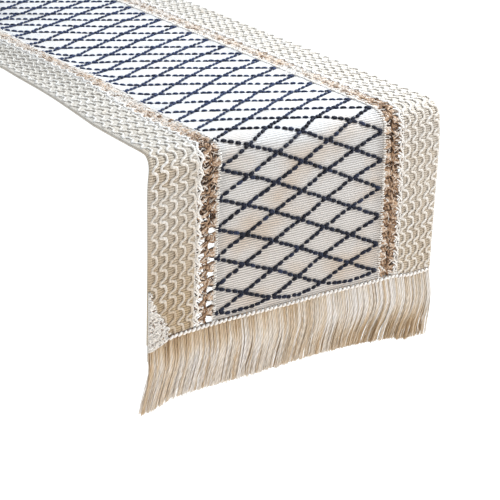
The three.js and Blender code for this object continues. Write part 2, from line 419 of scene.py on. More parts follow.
def yarn_material(name, stops, ply=2.6, ply_depth=0.0004, rough=0.85, sheen=0.3, fleck=None, spec=0.25, tint=None, fuzz=0.4):
    """Twisted yarn: tone picks its colour, the ply runs round it as a helix with painted shade in its grooves, and
    fine fibres cross it.
    """
    m, nt, b = new_mat(name, rough, sheen, fuzz, spec)
    if tint is not None:
        b.inputs["Sheen Tint"].default_value = (*tint, 1)
    f = attr(nt, "flat").outputs["Vector"]
    t = attr(nt, "tone").outputs["Fac"]
    sep = nt.nodes.new("ShaderNodeSeparateXYZ")
    nt.links.new(f, sep.inputs[0])
    fibre = noise(nt, scaled(nt, f, 0.9, 3.0, 1.0), 1.0, 3, 0.7)
    tt = math_node(nt, "ADD", t, math_node(nt, "MULTIPLY_ADD", fibre, 0.30, -0.15), clamp=True)
    c = ramp(nt, tt, stops)
    along = math_node(nt, "ADD", sep.outputs["X"], sep.outputs["Z"])
    ph = math_node(nt, "ADD", math_node(nt, "MULTIPLY", along, TWO_PI / ply), math_node(nt, "MULTIPLY", sep.outputs["Y"], 1.0))
    hel = math_node(nt, "MULTIPLY_ADD", math_node(nt, "SINE", ph), 0.5, 0.5)
    # painted shade in the ply's grooves
    ply_groove_shade = math_node(nt, "MULTIPLY_ADD", hel, -0.28, 0.28)
    c = mix(nt, ply_groove_shade, c, (stops[0][1][0] * 0.6, stops[0][1][1] * 0.6, stops[0][1][2] * 0.6))
    if fleck is not None:
        fl = noise(nt, scaled(nt, f, 2.6, 5.0, 3.0), 1.0, 1, 0.5)
        k = math_node(nt, "MULTIPLY_ADD", fl, 5.0, -3.3, clamp=True)
        c = mix(nt, math_node(nt, "MULTIPLY", k, 0.5), c, fleck)
    nt.links.new(c, b.inputs["Base Color"])
    hgt = math_node(nt, "ADD", hel, math_node(nt, "MULTIPLY", fibre, 0.6))
    bump(nt, b, hgt, ply_depth, 0.8)
    return m


M_CENTRE = weave_material("centre_cotton", (0.86, 0.86, 0.865), (0.20, 0.185, 0.175), (0.80, 0.69, 0.59), 0.44, 0.64, use_tone=True, hem_warm_bounce=0.35, ribbing=0.78)
M_SIDE = weave_material("side_weave", (0.68, 0.645, 0.59), (0.22, 0.17, 0.12), (0.61, 0.47, 0.30), 0.44, 0.74, use_tone=True, hem_warm_bounce=1.0, right_lit=0.45)
M_SELVAGE = weave_material("selvage_cotton", (0.75, 0.745, 0.73), (0.34, 0.31, 0.27), (0.70, 0.64, 0.56), 0.55, 0.80)
M_SIDECORD = yarn_material("side_cord_yarn", [(0.0, (0.52, 0.42, 0.31)), (0.5, (0.70, 0.66, 0.605)), (1.0, (0.80, 0.785, 0.765))],
                           ply=3.4, ply_depth=0.00018, sheen=0.25)
M_NAVY = yarn_material("navy_yarn", [(0.0, (0.004, 0.004, 0.008)), (0.5, (0.009, 0.012, 0.028)), (1.0, (0.034, 0.052, 0.125))],
                       ply=2.4, ply_depth=0.0004, rough=0.62, sheen=0.5, fleck=(0.06, 0.075, 0.17), spec=0.2, tint=(0.50, 0.64, 1.0), fuzz=0.22)
M_BROWN = yarn_material("brown_yarn", [(0.0, (0.028, 0.016, 0.010)), (0.20, (0.15, 0.078, 0.040)), (0.45, (0.42, 0.265, 0.160)),
                                       (0.70, (0.71, 0.535, 0.395)), (1.0, (0.84, 0.80, 0.755))], ply=3.0, ply_depth=0.0004, sheen=0.75, fuzz=0.28)
M_WHITE = yarn_material("white_thread", [(0.0, (0.64, 0.59, 0.53)), (0.5, (0.84, 0.81, 0.77)), (1.0, (0.94, 0.92, 0.90))],
                        ply=2.6, ply_depth=0.00025, sheen=0.3)
M_FRINGE = yarn_material("fringe_yarn", [(0.0, (0.18, 0.11, 0.05)), (0.25, (0.42, 0.285, 0.155)), (0.5, (0.63, 0.495, 0.34)),
                                         (0.75, (0.73, 0.665, 0.58)), (1.0, (0.82, 0.80, 0.785))],
                         ply=7.0, ply_depth=0.00006, rough=0.5, sheen=0.35, spec=0.4)

# ------------------------------------------------------------------ lattice geometry
DU, DV, S0 = 28.413, 12.849, 13.18
CU = np.array([-3.2, -0.7, -0.6, -1.8, -4.0, -3.4, -0.2])
CV = np.array([3.5, 1.8, -0.2, -0.8, -1.7, -1.5, 0.0])
KU = (np.arange(7) - 3) * DU + CU


def lattice_uv(k, m):
    """Knot coordinates to cloth coordinates, continued along the whole runner. m counts down the front drop."""
    k = np.asarray(k, float)
    s = S0 + np.asarray(m, float) * DV + np.interp(k, np.arange(7), CV)
    u = np.interp(k, np.arange(7), KU)
    return u, s


def to_v(s):
    """Distance past the front fold to v, with the last row of yarn turned round before the hem at either end."""
    v = -(FOLD + s)
    a = np.abs(v) - FOLD
    lim = 137.0
    a = np.where(a > lim, lim + 9.5 * (1 - np.exp(-(a - lim) / 9.5)), a)
    return np.sign(v) * (FOLD + a)


def lattice_near(u, v):
    """0 on a stitched line, 1 in the middle of a diamond."""
    k = np.interp(u, KU, np.arange(7))
    m = (-v - FOLD - S0 - np.interp(k, np.arange(7), CV)) / DV
    a = np.abs(((m - k) + 1) % 2 - 1)
    b = np.abs(((m + k) + 1) % 2 - 1)
    near = np.minimum(a, b)
    # nothing is sewn between the last row and the hem
    return near + (1 - near) * s01((np.abs(v) - FOLD - 139.0) / 4.0)


# last knot rows before either hem
M_HI = int(math.floor((155.0 - S0) / DV))
M_LO = int(math.ceil((-(2 * FOLD + 155.0) - S0) / DV))


def stitches():
    """Every dash of the running stitch: centre, direction and size, in cloth coordinates."""
    rng = np.random.default_rng(11)
    out = []
    for m in range(M_LO, M_HI + 1):
        for k in range(6):
            for step in (1, -1):
                if (m + k) % 2 or not M_LO <= m + step <= M_HI:
                    continue
                n = 5
                t = (np.arange(n) + 0.5) / n
                t = t + rng.normal(0, 0.012, n)
                wob = rng.normal(0, 0.28, n)
                ln = 5.65 * rng.uniform(0.9, 1.06, n) / 31.2
                e = []
                for tt in (t - ln / 2, t, t + ln / 2):
                    u, s = lattice_uv(k + tt, m + step * tt)
                    e.append(np.stack([u, to_v(s)], -1))
                a, c, b = e
                out.append(np.stack([a, c, b], 1) + np.stack([0 * wob, wob], -1)[:, None])
    return np.concatenate(out), rng


STITCH, _ = stitches()


def dashes(sel, seed, height):
    """Plump dashes for the chosen stitches."""
    rng = np.random.default_rng(seed)
    S = STITCH[sel]
    n = len(S)
    turn = rng.normal(0, 0.07, n)
    d = S[:, 2] - S[:, 0]
    ln = np.linalg.norm(d, axis=1, keepdims=True)
    d = d / ln
    c, s_ = np.cos(turn)[:, None], np.sin(turn)[:, None]
    d = np.concatenate([d[:, :1] * c - d[:, 1:] * s_, d[:, :1] * s_ + d[:, 1:] * c], 1)
    t = np.array([-1.0, -0.72, -0.25, 0.25, 0.72, 1.0])
    w = np.array([0.42, 0.84, 1.0, 1.0, 0.84, 0.42])
    half = ln / 2 * (0.90 + 0.08 * s01((np.abs(S[:, 1, 1]) - FOLD + 4.0) / 30.0))[:, None]
    P = np.zeros((n, 6, 3))
    P[:, :, :2] = S[:, 1][:, None] + d[:, None] * (t[None, :, None] * half[:, None])
    on_top = s01((FOLD - 4.0 - np.abs(S[:, 1, 1])) / 50.0)
    size = rng.uniform(1.48, 1.76, n) * (1 - 0.25 * on_top)
    P[:, :, 2] = height + 0.42 * (1 - (t ** 2))[None] + rng.normal(0, 0.05, n)[:, None]
    rad = size[:, None] * w[None]
    # painted light: dashes on the stretch that lies on the table are lighter and bluer, as lit by the strong light
    # from above
    tone = np.clip(0.36 + 0.58 * on_top + rng.normal(0, 0.15, n), 0, 1)
    return tubes(P, rad, 8, 0.78, tone=tone, grow=0.45)


T_CENTRE = 1.8


def centre_top(u, v):
    near = lattice_near(u, v)
    dent = 0.55 * np.exp(-(near / 0.13) ** 2)
    pillow = 0.35 * s01(near / 0.7)
    rib = 0.24 * (1 + 0.9 * s01((np.abs(u) - 75.0) / 9.0)) * np.cos(TWO_PI * v / RIB + 1.2 * noise2(u / 60.0, v / 80.0, 5, 2))
    edge = 0.15 * s01((np.abs(u) - 84.0) / 4.0)
    return T_CENTRE - 0.1 + pillow - dent + rib - edge


def centre_shade_tone(u, v, h):
    """Painted shade: darker in the gaps between ribs near both long edges, where the weave opens up, most of all on
    the right, and darker along the dented stitched lines.
    """
    rib_valley_shade = 0.5 - 0.5 * np.cos(TWO_PI * v / RIB + 1.2 * noise2(u / 60.0, v / 80.0, 5, 2))
    open_gap_shade = np.where(u > 0, 0.45 + 0.50 * s01((FOLD + 85.0 - np.abs(v)) / 60.0), 0.30) * s01((np.abs(u) - 75.0) / 8.0) * (0.72 + 0.45 * noise2(u / 4.0, v / 5.0, 7, 2))
    near = np.exp(-(lattice_near(u, v) / 0.10) ** 2)
    return np.clip(1.0 - 0.95 * open_gap_shade * rib_valley_shade ** 1.6 - 0.28 * near, 0, 1)


# ------------------------------------------------------------------ side panels: wavy cords over cross floats
WAVE = 13.45
CORD_U = np.array([113.2, 121.9, 130.6, 139.3, 147.6])


def cord_path(i, side, v0, v1, step):
    """One cord of the side panel: a rounded meander that runs straight on its left side and loops out to the right."""
    n = int(abs(v1 - v0) / 0.12) + 1
    q = np.linspace(v0, v1, n)
    ph = {-1: np.array([0.16, 0.08, 0.02, -0.03, -0.07]), 1: np.array([0.35, 0.42, 0.50, 0.57, 0.63])}[side][i]
    t = -q / WAVE + ph + 0.07 * noise2(np.zeros_like(q) + 3.1 * i, q / 45.0, 21 + side, 2)
    phi = TWO_PI * t
    w = np.sin(phi + 0.45 * np.cos(phi)) - 0.12
    sq = w / np.sqrt(w * w + 0.24)
    amp = 3.20 * (1 + 0.14 * noise2(np.zeros_like(q) + 1.7 * i, q / 26.0, 31 + side, 2))
    u = side * CORD_U[i] + amp * sq * (0.8 if (side < 0 and i == 4) else 1.0)
    vv = q + 0.9 * np.cos(phi * 2 + 0.6)
    vv = np.clip(vv, min(v0, v1), max(v0, v1))
    L = np.concatenate([[0], np.cumsum(np.hypot(np.diff(u), np.diff(vv)))])
    k = np.linspace(0, L[-1], int(L[-1] / step) + 1)
    return np.interp(k, L, u), np.interp(k, L, vv), k


def cord_u(i, side, v):
    """Nearest place across the panel of cord i at v, for the hollows beside it."""
    ph = {-1: np.array([0.16, 0.08, 0.02, -0.03, -0.07]), 1: np.array([0.35, 0.42, 0.50, 0.57, 0.63])}[side][i]
    t = -v / WAVE + ph + 0.07 * noise2(np.zeros_like(v) + 3.1 * i, v / 45.0, 21 + side, 2)
    phi = TWO_PI * t
    w = np.sin(phi + 0.45 * np.cos(phi)) - 0.12
    return side * CORD_U[i] + 3.20 * w / np.sqrt(w * w + 0.24)


def side_height(side):
    def top(u, v):
        dist = np.full(u.shape, 99.0)
        for i in range(5):
            dist = np.minimum(dist, np.abs(u - cord_u(i, side, v)))
        ph = v * math.pi / RIB + 0.30 * noise2(u / 9.0, v / 30.0, 41, 2)
        floats = np.abs(np.cos(ph))
        between = s01((dist - 0.8) / 2.6)
        return 1.35 + 1.05 * floats * (0.35 + 0.65 * between) + 0.30 * between
    return top


def side_shade_tone(side):
    def tone(u, v, h):
        right = np.full(u.shape, 99.0)
        for i in range(5):
            c = cord_u(i, side, v)
            right = np.minimum(right, np.where(c - u > 0, c - u, 99.0))
        floats = np.abs(np.cos(v * math.pi / RIB + 0.30 * noise2(u / 9.0, v / 30.0, 41, 2)))
        # painted shadow in the hollow beside each cord, under its loops
        hollow_shadow = np.exp(-((right - 2.2) / 1.2) ** 2)
        # painted shade between the cross floats; painted light: the right panel is a shade lighter and its hollows
        # less dark than the left, as lit from the right
        t = (0.60 if side < 0 else 0.68) + 0.54 * floats ** 0.7 - (0.58 if side < 0 else 0.50) * hollow_shadow * (1.2 - floats) + 0.09 * noise2(u / 5.0, v / 7.0, 51, 3)
        t = np.clip(t, 0, 1)
        # painted light: on the stretch that lies on the table the painted shade fades out, washed out by the strong
        # light there
        return t + (1 - t) * 0.62 * s01((FOLD + 6.0 - np.abs(v)) / 40.0)
    return tone


def side_cords(side, v0, v1):
    parts = []
    for i in range(5):
        u, v, k = cord_path(i, side, v0, v1, 1.05)
        P = np.stack([u, v, 2.45 + 0.25 * np.sin(TWO_PI * k / 7.0 + i)], -1)[None]
        rad = 1.20 + 0.09 * noise2(k[None] / 3.0, 0 * k[None] + 2.0 * i, 71, 2)
        # painted shade and warm bounce light: the cords darken and warm towards the hem, much more on the left
        tone = 0.68 + 0.22 * noise2(k[None] / 18.0, 0 * k[None] + 3.0 * i, 81 + side, 3) - (0.46 if side < 0 else 0.14) * s01((np.abs(v[None]) - FOLD - 20.0) / 110.0)
        parts.append(tubes(P, rad, 6, 0.84, tone=np.clip(tone, 0, 1)))
    return parts


# ------------------------------------------------------------------ openwork bands
def band_parts(side, v0, v1, seed):
    """A knotted net of many loose yarns. Bundles leave the centre panel between one column of square holes, are
    gathered by a ring, and part again round a second column of holes half a step on."""
    rng = np.random.default_rng(seed)
    lo, hi = min(v0, v1) + 0.5, max(v0, v1) - 0.5
    first = S0 + (3.5 if side < 0 else 6.4)
    q0 = math.floor((-hi - FOLD - first) / DV) - 1
    q1 = math.ceil((-lo - FOLD - first) / DV) + 1
    cell = np.arange(q0, q1 + 1).astype(float)
    vq = lambda q: -FOLD - first - q * DV
    parts = []
    dense = 1.0 if side < 0 else 1.12

    def paint_top_glare(tn, v, f=1.0):
        """Painted light: the yarn on the stretch that lies on the table is paled towards white, in uneven patches,
        washed out by the strong light there.
        """
        away = FOLD - np.abs(v)
        k = f * s01((away - 4.0) / 60.0) * np.clip(0.78 + 0.26 * noise2(v / 17.0, v * 0, 99, 2), 0.1, 0.95)
        return np.clip(tn * (1 - k) + 1.0 * k, 0, 1)

    def add(wpts, qpts, hpts, r, tone, n=7, jw=0.25, jv=0.25, jr=0.12, jt=0.14, sides=5, cells=None):
        """Strands through control points given across (w), along (q, in cells) and in height, one per cell."""
        cc = cell if cells is None else cells
        m = len(cc)
        k = len(wpts)
        tk, t = np.linspace(0, 1, k), np.linspace(0, 1, n)
        W = np.asarray(wpts, float)[None] + rng.normal(0, jw, (m, k))
        V = vq(cc[:, None] + np.asarray(qpts, float)[None]) + rng.normal(0, jv, (m, k))
        Hh = np.asarray(hpts, float)[None] + rng.normal(0, 0.15, (m, k))

        def smooth(A):
            i = np.clip(np.searchsorted(tk, t, side="right") - 1, 0, k - 2)
            f = (t - tk[i]) / (tk[i + 1] - tk[i])
            f = f * f * (3 - 2 * f)
            return A[:, i] * (1 - f) + A[:, i + 1] * f
        P = np.stack([side * smooth(W), smooth(V), np.clip(smooth(Hh), 0.5, 3.9)], -1)
        mid_v = P[:, :, 1].mean(1)
        P = P[(mid_v > lo + 0.6) & (mid_v < hi - 0.6)]
        if not len(P):
            return
        P[:, :, 1] = np.clip(P[:, :, 1], lo, hi)
        rr = r * (1 + rng.normal(0, jr, (len(P), 1))) * (1 + 0.10 * np.sin(math.pi * t))[None]
        tn = np.clip(tone - (0.07 if side < 0 else 0.0) + rng.normal(0, jt, (len(P), 1)) + 0.10 * rng.normal(0, 1, (len(P), n)), 0, 1)
        parts.append(tubes(P, rr, sides, 0.9, tone=paint_top_glare(tn, P[:, :, 1])))

    # bundles from the panel edge to the ring: light in the middle, brown along the holes
    for o, tn in ((-1.0, 0.22), (-0.62, 0.66), (-0.25, 0.88), (0.12, 0.72), (0.5, 0.92), (0.82, 0.58), (1.06, 0.20)):
        add((87.0, 91.2, 96.4), (0.5 + 0.33 * o, 0.5 + 0.30 * o, 0.47 + 0.19 * o), (1.4, 2.1 - 0.5 * abs(o), 1.7), 0.88 * dense, tn)
    # slack yarns that wander over the bundle
    add((88.5, 92.0, 95.6), (0.20, 0.42, 0.66), (1.8, 2.9, 2.2), 0.70, 0.82, jv=0.7)
    add((88.2, 92.4, 97.0), (0.78, 0.60, 0.36), (1.8, 2.8, 2.4), 0.62, 0.60, jv=0.7)
    # from the ring round the second column of holes
    for o, tn in ((0.25, 0.30), (0.55, 0.80), (0.85, 0.55), (1.1, 0.88)):
        add((95.6, 99.0, 103.4, 106.6), (0.47 + 0.15 * o, 0.62 + 0.22 * o, 0.80 + 0.16 * o, 0.86 + 0.15 * o), (1.7, 2.2, 2.0, 1.8), 0.86 * dense, tn)
        add((95.6, 99.0, 103.4, 106.6), (0.47 - 0.15 * o, 0.36 - 0.10 * o, 0.38 - 0.14 * o, 0.36 - 0.18 * o), (1.6, 2.0, 1.9, 1.7), 0.86 * dense, 1.02 - tn)
    for q in (0.05, 0.22, 0.40, 0.72, 0.90):
        add((104.0, 106.6, 109.2), (q, q + 0.03, q - 0.02), (1.2, 1.4, 1.1), 0.80, 0.30, jt=0.3)
    add((97.0, 101.0, 106.0), (0.20, 0.02, -0.16), (2.0, 2.9, 2.2), 0.66, 0.85, jv=0.7)
    add((98.0, 101.5, 106.0), (-0.08, 0.10, 0.28), (2.0, 2.8, 2.2), 0.60, 0.28, jv=0.7)
    # ring round each gathering, brown, with its own small eye
    m = len(cell)
    a = np.linspace(0, TWO_PI, 13)
    for rx, ry, r, tn, hh in ((2.0, 2.5, 0.85, 0.34, 2.5), (2.7, 3.1, 0.62, 0.12, 1.7)):
        C = np.zeros((m, 13, 3))
        cx = 96.4 + rng.normal(0, 0.25, m)
        C[:, :, 0] = side * (cx[:, None] + rx * np.cos(a)[None])
        C[:, :, 1] = vq(cell + 0.45)[:, None] + ry * np.sin(a)[None] + rng.normal(0, 0.3, m)[:, None]
        C[:, :, 2] = hh + 0.3 * np.sin(2 * a)[None]
        keep = (C[:, :, 1].min(1) > lo) & (C[:, :, 1].max(1) < hi)
        parts.append(tubes(C[keep], r * rng.uniform(0.85, 1.15, (keep.sum(), 1)), 5, 0.9, tone=paint_top_glare(tn + rng.normal(0, 0.12, (keep.sum(), 1)) + 0.12 * np.sin(2 * a)[None], C[keep][:, :, 1])))
    # two-ply lengthwise cord, wandering from ring to ring
    vs = np.linspace(lo + 0.2, hi - 0.2, int((hi - lo) / (1.1 if side < 0 else 1.5)))
    q = (-vs - FOLD - first) / DV
    mid = 96.6 + 1.1 * np.sin(TWO_PI * (q - 0.70)) + 0.4 * noise2(vs / 9.0, vs * 0, 91, 2)
    for ph, tn in ((0.0, 0.16), (math.pi, 0.48)):
        P = np.zeros((1, len(vs), 3))
        b = TWO_PI * vs / 5.2 + ph
        P[0, :, 0] = side * (mid + 0.75 * np.cos(b))
        P[0, :, 1] = vs
        P[0, :, 2] = 2.3 + 0.6 * np.sin(b)
        parts.append(tubes(P, 0.85, 6, 1.0, tone=paint_top_glare(tn + 0.22 * noise2(vs / 5.0, vs * 0, 95 + int(ph * 3), 3), vs)[None]))
    # short snarls of light and dark yarn scattered over everything
    ns = int((hi - lo) / (1.35 if side < 0 else 1.7))
    w0, v0_, an = rng.uniform(89.0, 106.0, ns), rng.uniform(lo + 4, hi - 4, ns), rng.uniform(-1.2, 1.2, ns)
    qd = (-v0_ - FOLD - first) / DV
    hole = (np.abs(w0 - 91.4) < 2.2) & (np.abs((qd + 0.5) % 1 - 0.5) < 0.2) | (np.abs(w0 - 100.8) < 2.0) & (np.abs((qd - 0.1) % 1 - 0.5) < 0.18)
    t = np.linspace(-1, 1, 6)[None]
    ln = rng.uniform(1.4, 2.6, ns)[:, None]
    P = np.zeros((ns, 6, 3))
    P[:, :, 0] = side * (w0[:, None] + ln * t * np.cos(an)[:, None])
    P[:, :, 1] = v0_[:, None] + ln * t * np.sin(an)[:, None] + 0.7 * (1 - t * t) * rng.normal(0, 1, (ns, 1))
    P[:, :, 2] = 2.5 + 0.7 * (1 - t * t)
    keep = ~hole
    parts.append(tubes(P[keep], rng.uniform(0.32, 0.62 if side < 0 else 0.48, (keep.sum(), 1)) + 0 * t, 4, 0.9, tone=paint_top_glare(rng.choice([0.06, 0.16, 0.34, 0.80, 0.95, 1.0] if side < 0 else [0.06, 0.12, 0.22, 0.45, 0.62, 0.80], keep.sum()) + rng.normal(0, 0.05, keep.sum()), v0_[keep], 0.30)))
    # near the folds the first holes are packed with dark yarn
    away = np.abs(vq(cell)) - FOLD
    near = cell[(away > -34) & (away < (58 if side < 0 else 999))]
    if len(near):
        for dw in (-2.4, -1.4, -0.4, 0.6, 1.6, 2.6):
            add((91.3 + dw, 91.3 + dw * 0.8, 91.3 + dw), (-0.26, 0.0, 0.26), (0.8, 1.0, 0.8), 0.80, 0.10, n=6, jt=0.08, cells=near[(np.abs(vq(near)) - FOLD) < 58], jw=0.1)
        for dw in (-2.0, -1.0, 0.0, 1.0, 2.0):
            add((100.9 + dw, 100.9 + dw * 0.8, 100.9 + dw), (0.38, 0.6, 0.82), (0.8, 1.0, 0.8), 0.78, 0.12, n=6, jt=0.08, cells=near[(np.abs(vq(near)) - FOLD) < 58], jw=0.1)
    # loose light fibres that cross the holes
    for w0, qc, lift_ in ((91.3, 0.0, 2.2), (100.9, 0.6, 2.0)):
        for dq in (-0.10, 0.10):
            some = cell if w0 > 95 and side < 0 else cell[np.abs(vq(cell)) - FOLD < 50]
            add((w0 - 3.4, w0, w0 + 3.4), (qc + dq, qc + 0.4 * dq, qc - dq), (1.8, lift_, 1.8), 0.36, 0.86, n=6, jw=0.8, jv=1.3, jt=0.12, sides=4, cells=some)
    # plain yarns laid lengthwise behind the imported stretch
    end = hi if hi > 0 else lo
    sgv = 1.0 if end > 0 else -1.0
    reach = FOLD + (CLOTH_END - 0.8 if side > 0 else 52.0)
    vb = sgv * np.linspace(FOLD - 30.0, reach, int((reach - FOLD + 30.0) / 2.0))
    B = np.zeros((6, len(vb), 3))
    B[:, :, 0] = side * (np.array([90.2, 92.8, 95.4, 98.0, 100.6, 103.2])[:, None] + 0.4 * noise2(vb[None] / 6.0, np.arange(6)[:, None] * 3.0, 97, 2))
    B[:, :, 1] = vb
    B[:, :, 2] = 0.75
    fade = s01((np.abs(vb) - FOLD - 40.0) / 30.0)[None]
    parts.append(tubes(B, 1.42, 6, 0.5, tone=np.clip(0.10 + 0.34 * fade + 0.14 * noise2(vb[None] / 4.0, np.arange(6)[:, None] * 2.0, 98, 3), 0, 1)))
    if side > 0:
        # lower down the right band is a solid braid of tan and brown
        low = cell[away > 50]
        for j, (w0, tn) in enumerate(((89.4, 0.36), (91.0, 0.56), (92.6, 0.28), (94.2, 0.50), (98.6, 0.54), (100.2, 0.30), (101.8, 0.56), (103.4, 0.38))):
            sl = 0.22 if j % 2 else -0.22
            add((w0 - 1.6, w0, w0 + 1.6), (0.0 - sl, 0.0, 0.0 + sl), (1.2, 2.2, 1.2), 0.85, tn + 0.04, n=6, cells=low, jt=0.08)
            add((w0 - 1.6, w0, w0 + 1.6), (0.5 + sl, 0.5, 0.5 - sl), (1.2, 2.4, 1.2), 0.85, 0.88 - tn, n=6, cells=low, jt=0.08)
    return parts


def seam_parts(side, v0, v1, seed):
    """Overcast stitches along the centre panel's edge, ragged into the openwork, over a running cord."""
    rng = np.random.default_rng(seed)
    lo, hi = min(v0, v1) + 0.6, max(v0, v1) - 0.6
    vs = np.arange(lo, hi, RIB)
    n = len(vs)
    t = np.linspace(0, 1, 6)
    P = np.zeros((n, 6, 3))
    a0 = 85.8 + rng.uniform(-0.5, 0.5, n)
    a1 = 88.9 + rng.uniform(-0.6, 1.6 if side < 0 else 1.9, n)
    P[:, :, 0] = side * (a0[:, None] + (a1 - a0)[:, None] * t[None])
    P[:, :, 1] = vs[:, None] + rng.normal(0, 0.25, n)[:, None] + rng.normal(0, 0.55, n)[:, None] * t[None]
    P[:, :, 2] = 2.0 + 1.0 * np.sin(math.pi * np.clip(t * 1.15, 0, 1))[None] + rng.normal(0, 0.1, n)[:, None] - 0.4 * t[None]
    rad = 0.66 * rng.uniform(0.75, 1.15, n)[:, None] * np.array([0.7, 1, 1.1, 1.05, 0.9, 0.6])[None]
    p1 = tubes(P, rad, 6, 0.9, tone=np.clip(0.62 + rng.normal(0, 0.2, n), 0, 1))
    w = np.linspace(lo - 0.3, hi + 0.3, int((hi - lo) / 1.6))
    C = np.zeros((1, len(w), 3))
    C[0, :, 0] = side * (87.9 + 0.25 * np.sin(w / 2.3))
    C[0, :, 1] = w
    C[0, :, 2] = 1.4
    return [p1, tubes(C, 0.85, 6, 0.9, tone=np.full(1, 0.5))]


def ladder_parts(side, v0, v1, seed):
    """A wandering white cord between openwork and side panel, with fine rungs laid over the brown yarn."""
    rng = np.random.default_rng(seed)
    lo, hi = min(v0, v1) + 0.6, max(v0, v1) - 0.6
    w = np.linspace(lo, hi, int((hi - lo) / 1.05))
    t = (w + FOLD + S0) / DV
    C = np.zeros((2, len(w), 3))
    C[0, :, 0] = side * (106.2 + 1.5 * np.sin(TWO_PI * t + 0.4)) + 0.2 * noise2(w / 3.0, w * 0, seed, 2)
    C[0, :, 2] = 2.9
    C[1, :, 0] = side * (108.9 + 0.5 * np.sin(TWO_PI * t + 2.2))
    C[1, :, 2] = 2.0
    C[:, :, 1] = w
    parts = [tubes(C, np.array([[1.05], [0.95]]) * (1.0 if side < 0 else 0.82) + 0 * w[None], 7, 0.9, tone=np.clip(0.75 - 0.32 * s01((np.abs(w[None]) - FOLD) / 40.0) + 0.15 * noise2(w[None] / 6.0, np.array([[0.0], [4.0]]), seed + 1, 2), 0, 1))]
    vs = np.arange(lo + 0.3, hi, RIB)
    vs = vs[rng.random(len(vs)) < 0.62]
    n = len(vs)
    tt = np.linspace(0, 1, 5)
    P = np.zeros((n, 5, 3))
    far = rng.uniform(104.4, 107.0, n)
    P[:, :, 0] = side * (109.6 + (far - 109.6)[:, None] * tt[None])
    P[:, :, 1] = vs[:, None] + rng.normal(0, 0.3, n)[:, None] + rng.normal(0.5, 0.4, n)[:, None] * tt[None]
    P[:, :, 2] = 2.3 + 0.9 * np.sin(math.pi * tt)[None] + rng.normal(0, 0.12, n)[:, None]
    parts.append(tubes(P, 0.52 * rng.uniform(0.8, 1.2, n)[:, None] + 0 * tt[None], 5, 0.9, tone=np.clip(0.45 + rng.normal(0, 0.2, n), 0, 1)))
    # one long slanting stitch for each knot row
    vc = np.arange(lo + 6.0, hi - 12.0, DV)
    n = len(vc)
    P = np.zeros((n, 6, 3))
    t6 = np.linspace(0, 1, 6)
    P[:, :, 0] = side * (108.6 - 5.8 * t6[None] ** 1.3 + rng.normal(0, 0.3, n)[:, None])
    P[:, :, 1] = vc[:, None] - (5.0 * t6[None] if side < 0 else -5.0 * t6[None]) + rng.normal(0, 0.5, n)[:, None]
    P[:, :, 2] = 2.9 + 0.7 * np.sin(math.pi * t6)[None]
    parts.append(tubes(P, 0.62 * rng.uniform(0.85, 1.15, n)[:, None] + 0 * t6[None], 6, 0.9, tone=np.clip(0.85 + rng.normal(0, 0.1, n), 0, 1)))
    return parts


# ------------------------------------------------------------------ build each half
HALVES = {"front": -1, "back": 1}
PIECES = []


def bend(ob):
    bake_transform(ob)


def hang(ob):
    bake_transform(ob)


